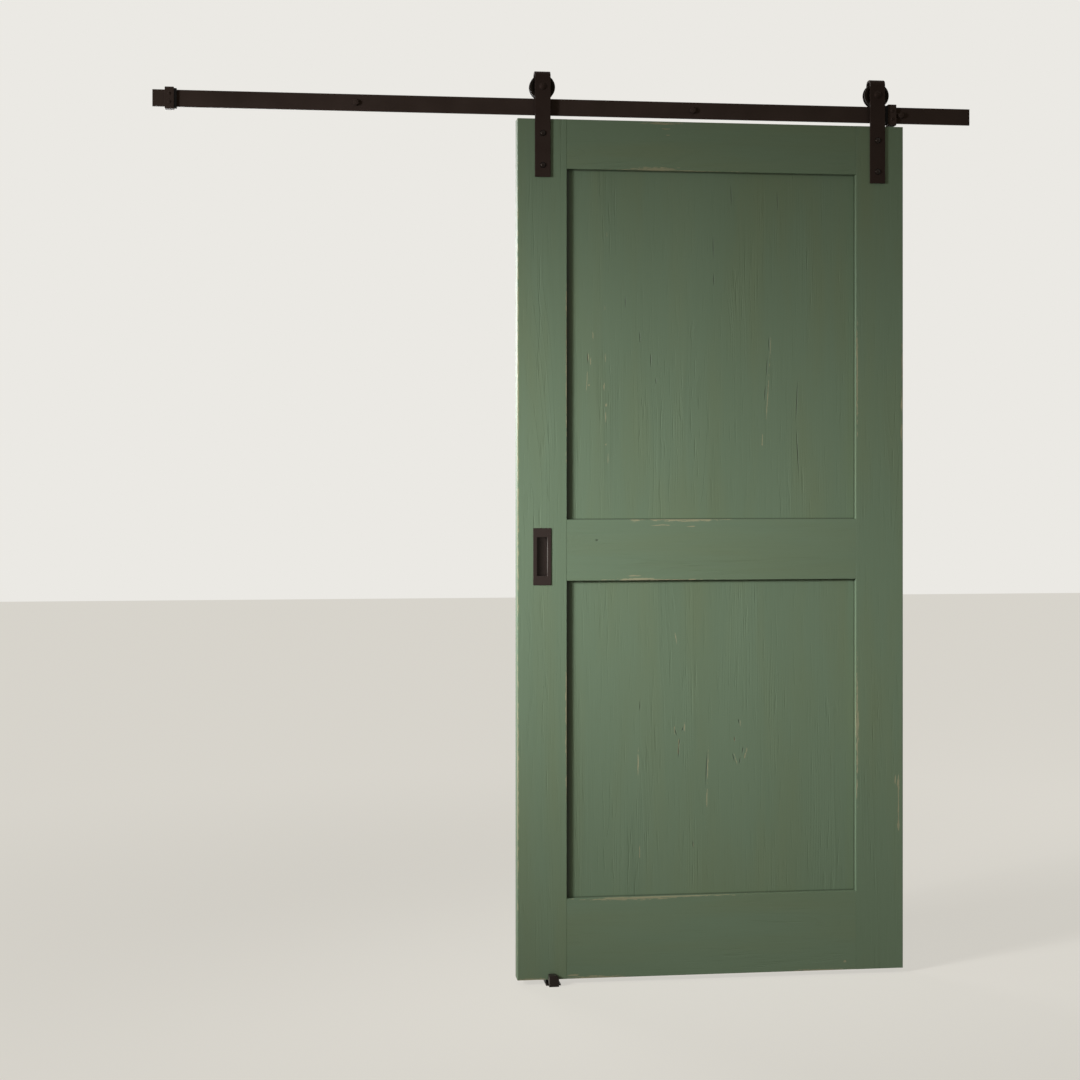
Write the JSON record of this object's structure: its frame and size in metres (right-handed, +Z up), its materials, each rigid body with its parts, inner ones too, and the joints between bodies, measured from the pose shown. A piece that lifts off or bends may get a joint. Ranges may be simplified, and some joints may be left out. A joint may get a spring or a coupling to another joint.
{
  "type": "sliding barn door",
  "caption": "Sliding shaker door leaf hung by strap hangers and grooved wheels on a flat wall track, with end stops, flush pulls and a floor guide.",
  "frame": {"origin": "on the wall's face, on the track's centre line, midway between the track's two outermost fixings", "axes": "+X along the track to the right as seen from the room, +Y into the wall, +Z up; the door faces -Y"},
  "size_m": [2, 0.1088, 2.2335],
  "materials": {
    "painted_wood": "sage green paint, matt, rubbed through to bare wood along some edges",
    "powder_coated_steel": "matt brown-black powder coat",
    "bearing_steel": "ground bearing steel",
    "rubber": "matt black rubber"
  },
  "bodies": {
    "track": {"track_bar": "powder_coated_steel", "wall_spacer_1": "powder_coated_steel", "lag_screw_1": "powder_coated_steel", "lag_washer_1": "powder_coated_steel", "wall_spacer_2": "powder_coated_steel", "lag_screw_2": "powder_coated_steel", "lag_washer_2": "powder_coated_steel", "wall_spacer_3": "powder_coated_steel", "lag_screw_3": "powder_coated_steel", "lag_washer_3": "powder_coated_steel", "wall_spacer_4": "powder_coated_steel", "lag_screw_4": "powder_coated_steel", "lag_washer_4": "powder_coated_steel", "left_stop_block": "powder_coated_steel", "left_stop_screws": "powder_coated_steel", "left_stop_bumper": "rubber", "right_stop_block": "powder_coated_steel", "right_stop_screws": "powder_coated_steel", "right_stop_bumper": "rubber", "floor_guide": "powder_coated_steel", "floor_guide_screws": "powder_coated_steel"},
    "door": {"left_stile": "painted_wood", "right_stile": "painted_wood", "top_rail": "painted_wood", "lock_rail": "painted_wood", "bottom_rail": "painted_wood", "upper_panel": "painted_wood", "lower_panel": "painted_wood", "front_pull": "powder_coated_steel", "front_pull_screws": "powder_coated_steel", "rear_pull": "powder_coated_steel", "rear_pull_screws": "powder_coated_steel", "left_hanger_strap": "powder_coated_steel", "left_hanger_bolts": "powder_coated_steel", "left_hanger_nuts": "powder_coated_steel", "left_axle_bolt": "powder_coated_steel", "left_axle_nut": "powder_coated_steel", "left_front_bush": "powder_coated_steel", "left_rear_bush": "powder_coated_steel", "left_inner_race": "bearing_steel", "right_hanger_strap": "powder_coated_steel", "right_hanger_bolts": "powder_coated_steel", "right_hanger_nuts": "powder_coated_steel", "right_axle_bolt": "powder_coated_steel", "right_axle_nut": "powder_coated_steel", "right_front_bush": "powder_coated_steel", "right_rear_bush": "powder_coated_steel", "right_inner_race": "bearing_steel"},
    "left_wheel": {"left_wheel": "powder_coated_steel", "left_outer_race": "bearing_steel", "left_bearing_balls": "bearing_steel", "left_bearing_cage": "bearing_steel", "left_bearing_shields": "bearing_steel", "left_retaining_ring": "bearing_steel"},
    "right_wheel": {"right_wheel": "powder_coated_steel", "right_outer_race": "bearing_steel", "right_bearing_balls": "bearing_steel", "right_bearing_cage": "bearing_steel", "right_bearing_shields": "bearing_steel", "right_retaining_ring": "bearing_steel"}
  },
  "joints": [
    {"name": "door_slide", "type": "slide", "parent": "track", "child": "door", "axis": [1, 0, 0], "range_m": [-0.8505, 0.0025]},
    {"name": "left_wheel_spin", "type": "hinge", "parent": "door", "child": "left_wheel", "pos_m": [-0.2235, -0.0375, 0.0473], "axis": [0, 1, 0], "continuous": true},
    {"name": "right_wheel_spin", "type": "hinge", "parent": "door", "child": "right_wheel", "pos_m": [0.6095, -0.0375, 0.0473], "axis": [0, 1, 0], "continuous": true}
  ],
  "couplings": [
    {"joint": "left_wheel_spin", "follows": "door_slide", "rad_per_m": 37.037},
    {"joint": "right_wheel_spin", "follows": "door_slide", "rad_per_m": 37.037}
  ]
}
